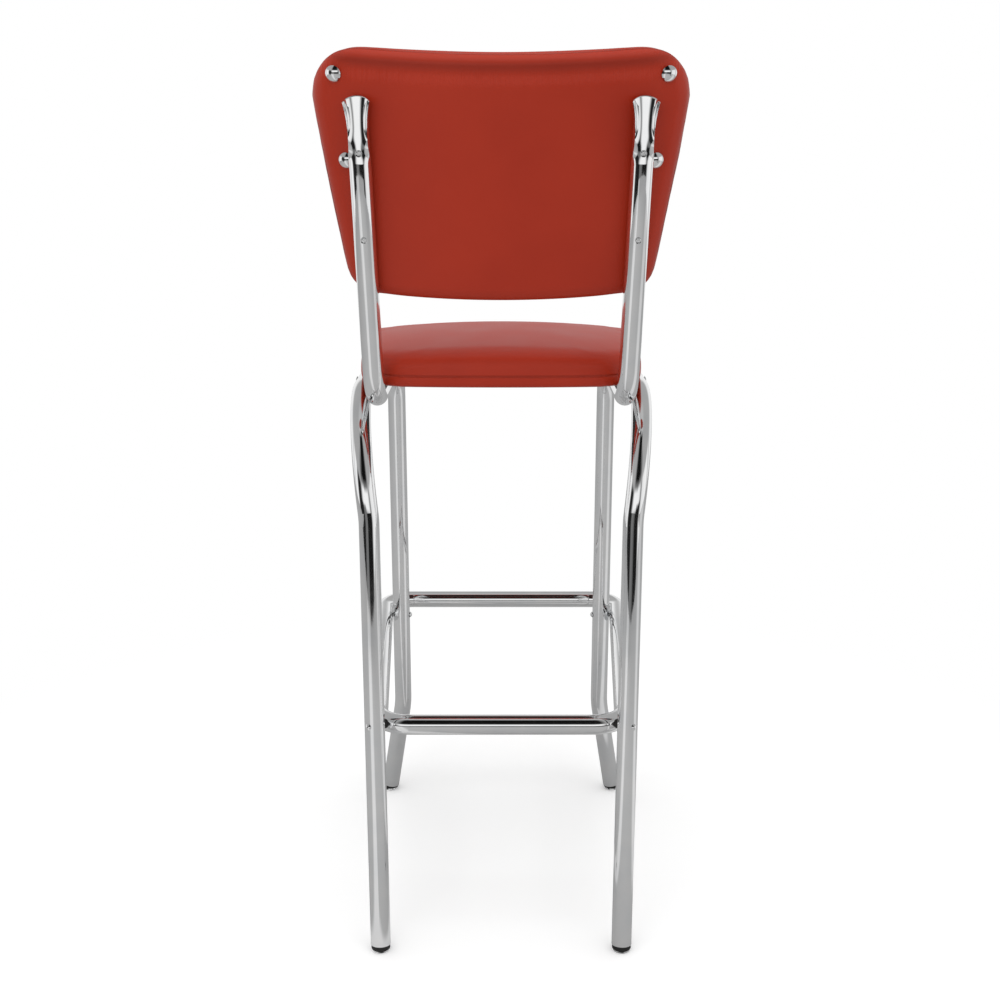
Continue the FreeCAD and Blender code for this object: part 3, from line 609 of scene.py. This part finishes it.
def buildFrameTube(side, name):
    t = tubeValues
    radius = t["radius"]
    scoopFoot = t["post"] - t["scoop"]
    legTop = Vector((t["legX"], t["footY"] + t["rake"] * t["rail"], t["rail"]))
    kick = Vector((t["legX"], t["footY"] + t["rake"] * t["kick"], t["kick"]))
    share = 1 - t["footEnd"] / t["kick"]
    foot = Vector((t["legX"] + (t["footX"] - t["legX"]) * share, t["footY"] + t["rake"] * t["footEnd"],
                   t["footEnd"]))
    stations = bentPath([foot, kick, legTop, postAt(0), postAt(scoopFoot)], t["bends"])
    tubeOutline = postOutline(scoopRims[0][1] * radius, 0.0, radius, 0.0)
    loops = []
    for centre, along in stations:
        across = (Vector((1, 0, 0)) - along * along.x).normalized()
        depthWay = along.cross(across)
        loops.append([centre + across * x + depthWay * depth for x, depth in tubeOutline])
    for step in range(1, t["scoopSteps"] + 1):
        up = step / t["scoopSteps"]
        tableShare = min(up, t["tableEnd"])
        rim = eased(scoopRims, tableShare, 1) * radius
        rimDepth = eased(scoopRims, tableShare, 2) * radius
        floor = radius + (t["metal"] - 2 * radius) * up
        outline = postOutline(rim, rimDepth, floor, t["tuckShare"] * t["metal"] / 2 * min(up * 3, 1.0))
        centre = postAt(scoopFoot + t["scoop"] * up)
        rounding = max(up - t["tipFrom"], 0.0) / (1 - t["tipFrom"])
        loops.append([centre + Vector((x, 0, 0)) + leanBack * depth
                      - leanUp * rounding * (t["tip"] - math.sqrt(t["tip"] ** 2 - x * x))
                      for x, depth in outline])
    bm = bmesh.new()
    rows = [[bm.verts.new((side * p.x, p.y, p.z)) for p in loop] for loop in loops]
    size = len(tubeOutline)
    for low, high in zip(rows, rows[1:]):
        for k in range(size):
            bm.faces.new((low[k], low[(k + 1) % size], high[(k + 1) % size], high[k]))
    bm.faces.new(rows[0])
    top = rows[-1]
    rimCount = t["rimSteps"]
    bows = size // 2 - rimCount
    front, right = top[:bows], top[bows:bows + rimCount]
    rear, left = top[size // 2:size // 2 + bows], top[size // 2 + bows:]
    for k in range(bows - 1):
        bm.faces.new((front[k], front[k + 1], rear[bows - 2 - k], rear[bows - 1 - k]))
    bm.faces.new([front[-1]] + right + [rear[0]])
    bm.faces.new([rear[-1]] + left + [front[0]])
    bmesh.ops.recalc_face_normals(bm, faces=bm.faces)
    topSet = set(top)
    rimEdges = [e for e in bm.edges if all(v in topSet for v in e.verts)
                and any(len(f.verts) == 4 and not all(v in topSet for v in f.verts) for f in e.link_faces)]
    bmesh.ops.bevel(bm, geom=rimEdges, offset=t["edgeRound"], offset_type="OFFSET", segments=3, profile=0.5,
                    affect="EDGES", material=-1)
    tube = finishPiece(bm, name, "chrome_tube", name.replace("FrameTube", "_frame_tube"))
    for rise, depth in t["screws"]:
        drill(tube, postAt(rise), depth, side)
    markSharp(tube, t["crispAngle"])


# Cut a screw's recess into the rear of the post
def drill(tube, centre, depth, side):
    bm = bmesh.new()
    bmesh.ops.create_cone(bm, cap_ends=True, segments=32, radius1=tubeValues["screwHole"],
                          radius2=tubeValues["screwHole"], depth=tubeValues["holeLength"])
    mesh = bpy.data.meshes.new("recess")
    way = leanBack.to_track_quat("Z", "Y").to_matrix()
    middle = centre + leanBack * (depth + tubeValues["holeLength"] / 2)
    middle.x *= side
    bmesh.ops.transform(bm, matrix=Matrix.Translation(middle) @ way.to_4x4(), verts=bm.verts)
    bm.to_mesh(mesh)
    bm.free()
    cutter = bpy.data.objects.new("recess", mesh)
    scene.collection.objects.link(cutter)
    cut = tube.modifiers.new("recess", "BOOLEAN")
    cut.object = cutter
    cut.operation = "DIFFERENCE"
    applyModifiers(tube)
    bpy.data.objects.remove(cutter)
    bpy.data.meshes.remove(mesh)


# Keep edges that turn further than the angle crisp
def markSharp(piece, angle):
    bm = bmesh.new()
    bm.from_mesh(piece.data)
    for edge in bm.edges:
        if len(edge.link_faces) == 2:
            edge.smooth = edge.calc_face_angle(0) < angle
    for face in bm.faces:
        face.smooth = True
    bm.to_mesh(piece.data)
    bm.free()


# Head profile as (radius, height) shares of the head's radius; rows inside the recess are six-sided
screwValues = {
    "radius": 0.0033, "gap": 0.0001, "segments": 24, "recess": 0.45, "recessSpread": 1.08,
    "profile": ((1.0, 0.0), (0.98, 0.16), (0.88, 0.36), (0.72, 0.50), (0.46, 0.58), (0.42, 0.56), (0.40, 0.16)),
    "crispAngle": math.radians(40),
}


# Domed screw heads with a hexagon recess, two in each post
def buildPostScrews(side, name):
    s = screwValues
    sixth = math.pi / 3
    sideways = leanBack.cross(leanUp)
    bm = bmesh.new()
    for rise, depth in tubeValues["screws"]:
        base = postAt(rise) + leanBack * (depth + s["gap"])
        rows = []
        for out, high in s["profile"]:
            row = []
            for k in range(s["segments"]):
                turn = 2 * math.pi * k / s["segments"]
                reach = out * s["radius"]
                if out < s["recess"]:
                    reach *= math.cos(sixth / 2) / math.cos((turn % sixth) - sixth / 2) * s["recessSpread"]
                point = base + (sideways * math.cos(turn) + leanUp * math.sin(turn)) * reach
                point += leanBack * high * s["radius"]
                row.append(bm.verts.new((side * point.x, point.y, point.z)))
            rows.append(row)
        for low, high in zip(rows, rows[1:]):
            for k in range(len(low)):
                bm.faces.new((low[k], low[(k + 1) % len(low)], high[(k + 1) % len(low)], high[k]))
        bm.faces.new(rows[-1])
        bm.faces.new(rows[0][::-1])
    bmesh.ops.recalc_face_normals(bm, faces=bm.faces)
    heads = finishPiece(bm, name, "chrome_hardware", name.replace("PostScrews", "_post_screws"))
    markSharp(heads, s["crispAngle"])


buildSeat()
print("seat pad made")
buildBack()
print("back pad made")
for side, hand in ((1, "left"), (-1, "right")):
    buildFrameTube(side, hand + "FrameTube")
    buildPostScrews(side, hand + "PostScrews")
print("frame tubes made")


# Floor, light and camera

studio = {
    "floorRadius": 5.0,
    "floorCamera": 0.97,
    "floorLift": 0.14,
    "whiteFrom": 0.55,
    "whiteBy": 1.1,
    "floorGrey": 0.43,
    "floorDiffuse": 0.62,
    # Painted light on the floor for reflections: streaks as (azimuth in degrees, width, strength)
    "paintedLightStreaks": ((-30, 16, 0.26), (80, 24, 0.26)),
    "skyStrength": 0.80,
    "boxes": {
        "ceilingBox": {"place": (0.0, 0.4, 3.2), "target": (0, 0, 0.6), "size": (2.6, 2.2), "power": 26.0},
        "cameraBox": {"place": (0.9, 3.0, 1.6), "target": (0, 0, 0.7), "size": (1.6, 1.6), "power": 12.0},
    },
}


# 1 near an azimuth in degrees, fading to 0 over the width
def angleMask(tree, azimuth, centre, width):
    off = addNode(tree, "ShaderNodeMath", {0: azimuth}, operation="SUBTRACT")
    off.inputs[1].default_value = math.radians(centre)
    size = addNode(tree, "ShaderNodeMath", {0: off.outputs[0]}, operation="ABSOLUTE")
    mask = addNode(tree, "ShaderNodeMapRange", {"Value": size.outputs[0]}, interpolation_type="SMOOTHSTEP",
                   From_Min=math.radians(width * 0.45), From_Max=math.radians(width), To_Min=1.0, To_Max=0.0)
    return mask.outputs[0]


# Azimuth about +Z from +Y, growing towards -X, and the height
def azimuthOf(tree, direction):
    axes = addNode(tree, "ShaderNodeSeparateXYZ", {0: direction})
    flip = addNode(tree, "ShaderNodeMath", {0: axes.outputs[0]}, operation="MULTIPLY")
    flip.inputs[1].default_value = -1.0
    turn = addNode(tree, "ShaderNodeMath", {0: flip.outputs[0], 1: axes.outputs[1]}, operation="ARCTAN2")
    return turn.outputs[0], axes.outputs[2]


# Linear mix of two values, each a socket or a number
def mixValue(tree, factor, a, b):
    node = addNode(tree, "ShaderNodeMix", data_type="FLOAT")
    for socket, value in ((node.inputs[0], factor), (node.inputs[2], a), (node.inputs[3], b)):
        if isinstance(value, (int, float)):
            socket.default_value = value
        else:
            tree.links.new(value, socket)
    return node.outputs[0]


def buildFloor():
    bm = bmesh.new()
    bmesh.ops.create_circle(bm, cap_ends=True, segments=96, radius=studio["floorRadius"])
    mesh = bpy.data.meshes.new("studioFloor")
    bm.to_mesh(mesh)
    bm.free()
    floor = bpy.data.objects.new("studioFloor", mesh)
    scene.collection.objects.link(floor)
    material, tree, shader, place = newMaterial("paintedFloor")
    azimuth, _ = azimuthOf(tree, place)
    # Painted light: bright streaks on the floor around two azimuths, seen only in glossy reflections
    paintedLightStreaks = 0.0
    for centre, width, strength in studio["paintedLightStreaks"]:
        paintedLightStreaks = mixValue(tree, angleMask(tree, azimuth, centre, width), paintedLightStreaks, strength)
    grey = addNode(tree, "ShaderNodeMath", {0: paintedLightStreaks}, operation="ADD")
    grey.inputs[1].default_value = studio["floorGrey"]
    path = addNode(tree, "ShaderNodeLightPath")
    seen = mixValue(tree, path.outputs["Is Glossy Ray"], studio["floorDiffuse"], grey.outputs[0])
    seen = mixValue(tree, path.outputs["Is Camera Ray"], seen, studio["floorCamera"])
    colour = addNode(tree, "ShaderNodeCombineColor", {0: seen, 1: seen, 2: seen})
    tree.links.new(colour.outputs[0], shader.inputs["Base Color"])
    shader.inputs["Roughness"].default_value = 1.0
    shader.inputs["Specular IOR Level"].default_value = 0.0
    # The camera sees the lit floor with its shadow near the stool, lifted to white, and plain white further out
    reach = addNode(tree, "ShaderNodeVectorMath", {0: place}, operation="LENGTH")
    fade = addNode(tree, "ShaderNodeMapRange", {"Value": reach.outputs["Value"]},
                   interpolation_type="SMOOTHSTEP", From_Min=studio["whiteFrom"], From_Max=studio["whiteBy"],
                   To_Min=0.0, To_Max=1.0)
    away = mixValue(tree, path.outputs["Is Camera Ray"], 0.0, fade.outputs[0])
    lift = mixValue(tree, path.outputs["Is Camera Ray"], 0.0, studio["floorLift"])
    glow = addNode(tree, "ShaderNodeEmission", {"Strength": lift})
    lifted = addNode(tree, "ShaderNodeAddShader", {0: shader.outputs[0], 1: glow.outputs[0]})
    white = addNode(tree, "ShaderNodeEmission", Strength=1.0)
    mixed = addNode(tree, "ShaderNodeMixShader", {0: away, 1: lifted.outputs[0], 2: white.outputs[0]})
    output = next(n for n in tree.nodes if n.bl_idname == "ShaderNodeOutputMaterial")
    tree.links.new(mixed.outputs[0], output.inputs[0])
    mesh.materials.append(material)


# White to the camera, even light for the cloth, and for the metal a dark room with soft boxes
def buildWorld():
    world = bpy.data.worlds.new("studioRoom")
    world.use_nodes = True
    scene.world = world
    tree = world.node_tree
    tree.nodes.clear()
    direction = addNode(tree, "ShaderNodeTexCoord").outputs["Generated"]
    azimuth, height = azimuthOf(tree, direction)
    place = addNode(tree, "ShaderNodeMapRange", {"Value": height}, From_Min=-1.0, From_Max=1.0)
    cameraSide = ramp(tree, place.outputs[0], [
        (0.0, 0.36), (0.50, 0.30), (0.53, 0.35), (0.56, 0.95), (0.66, 0.95), (0.71, 0.20), (0.76, 0.006),
        (0.975, 0.006), (0.99, 0.50), (1.0, 0.55),
    ])
    farSide = ramp(tree, place.outputs[0], [
        (0.0, 0.36), (0.50, 0.9), (0.62, 0.85), (0.70, 0.40), (0.95, 0.38), (1.0, 0.50),
    ])
    # Round the horizon, from the far side by +X, the camera side at the middle and -X, to the far side again
    around = addNode(tree, "ShaderNodeMapRange", {"Value": azimuth}, From_Min=-math.pi, From_Max=math.pi)
    horizon = ramp(tree, around.outputs[0], [
        (0.12, 0.36), (0.20, 0.50), (0.235, 0.95), (0.28, 0.95), (0.31, 0.02), (0.40, 0.01), (0.43, 0.18),
        (0.47, 0.16), (0.50, 0.01), (0.61, 0.01), (0.65, 0.85), (0.76, 0.95), (0.80, 0.32), (0.9, 0.36),
    ])
    flank = addNode(tree, "ShaderNodeMapRange", {"Value": height}, interpolation_type="SMOOTHSTEP",
                    From_Min=0.30, From_Max=0.42, To_Min=0.0, To_Max=1.0)
    sides = mixValue(tree, flank.outputs[0], horizon, farSide)
    nearCamera = angleMask(tree, azimuth, 0, 48)
    lifted = addNode(tree, "ShaderNodeMapRange", {"Value": height}, interpolation_type="SMOOTHSTEP",
                     From_Min=0.03, From_Max=0.10, To_Min=0.0, To_Max=1.0)
    front = mixValue(tree, lifted.outputs[0], horizon, cameraSide)
    room = mixValue(tree, nearCamera, sides, front)
    axes = addNode(tree, "ShaderNodeSeparateXYZ", {0: direction})
    behind = addNode(tree, "ShaderNodeMapRange", {"Value": axes.outputs[1]}, interpolation_type="SMOOTHSTEP",
                     From_Min=-0.5, From_Max=-0.1, To_Min=1.0, To_Max=0.0)
    room = mixValue(tree, behind.outputs[0], room, farSide)
    path = addNode(tree, "ShaderNodeLightPath")
    level = mixValue(tree, path.outputs["Is Glossy Ray"], studio["skyStrength"], room)
    level = mixValue(tree, path.outputs["Is Camera Ray"], level, 1.0)
    level = mixValue(tree, path.outputs["Is Transmission Ray"], level, 1.0)
    shade = addNode(tree, "ShaderNodeBackground", {"Strength": level}, Color=(1, 1, 1, 1))
    output = tree.nodes.new("ShaderNodeOutputWorld")
    tree.links.new(shade.outputs[0], output.inputs[0])


def softBox(name, values):
    light = bpy.data.lights.new(name, "AREA")
    light.shape = "RECTANGLE"
    light.size, light.size_y = values["size"]
    light.energy = values["power"]
    lamp = bpy.data.objects.new(name, light)
    lamp.location = values["place"]
    aim = Vector(values["target"]) - Vector(values["place"])
    lamp.rotation_euler = aim.to_track_quat("-Z", "Y").to_euler()
    lamp.visible_glossy = False
    scene.collection.objects.link(lamp)


buildFloor()
buildWorld()
for name, values in studio["boxes"].items():
    softBox(name, values)

cameraValues = {
    "lens": 50.0, "sensor": 36.0, "place": (0.0, 1.844, 0.991), "pitch": 14.116, "shiftX": -0.0011,
}
camera = bpy.data.objects.new("camera", bpy.data.cameras.new("camera"))
camera.data.lens = cameraValues["lens"]
camera.data.sensor_width = cameraValues["sensor"]
camera.data.shift_x = cameraValues["shiftX"]
camera.location = cameraValues["place"]
camera.rotation_euler = (math.radians(90 - cameraValues["pitch"]), 0, math.pi)
scene.collection.objects.link(camera)
scene.camera = camera
scene.view_settings.view_transform = "Standard"
print("stage, light and camera ready")
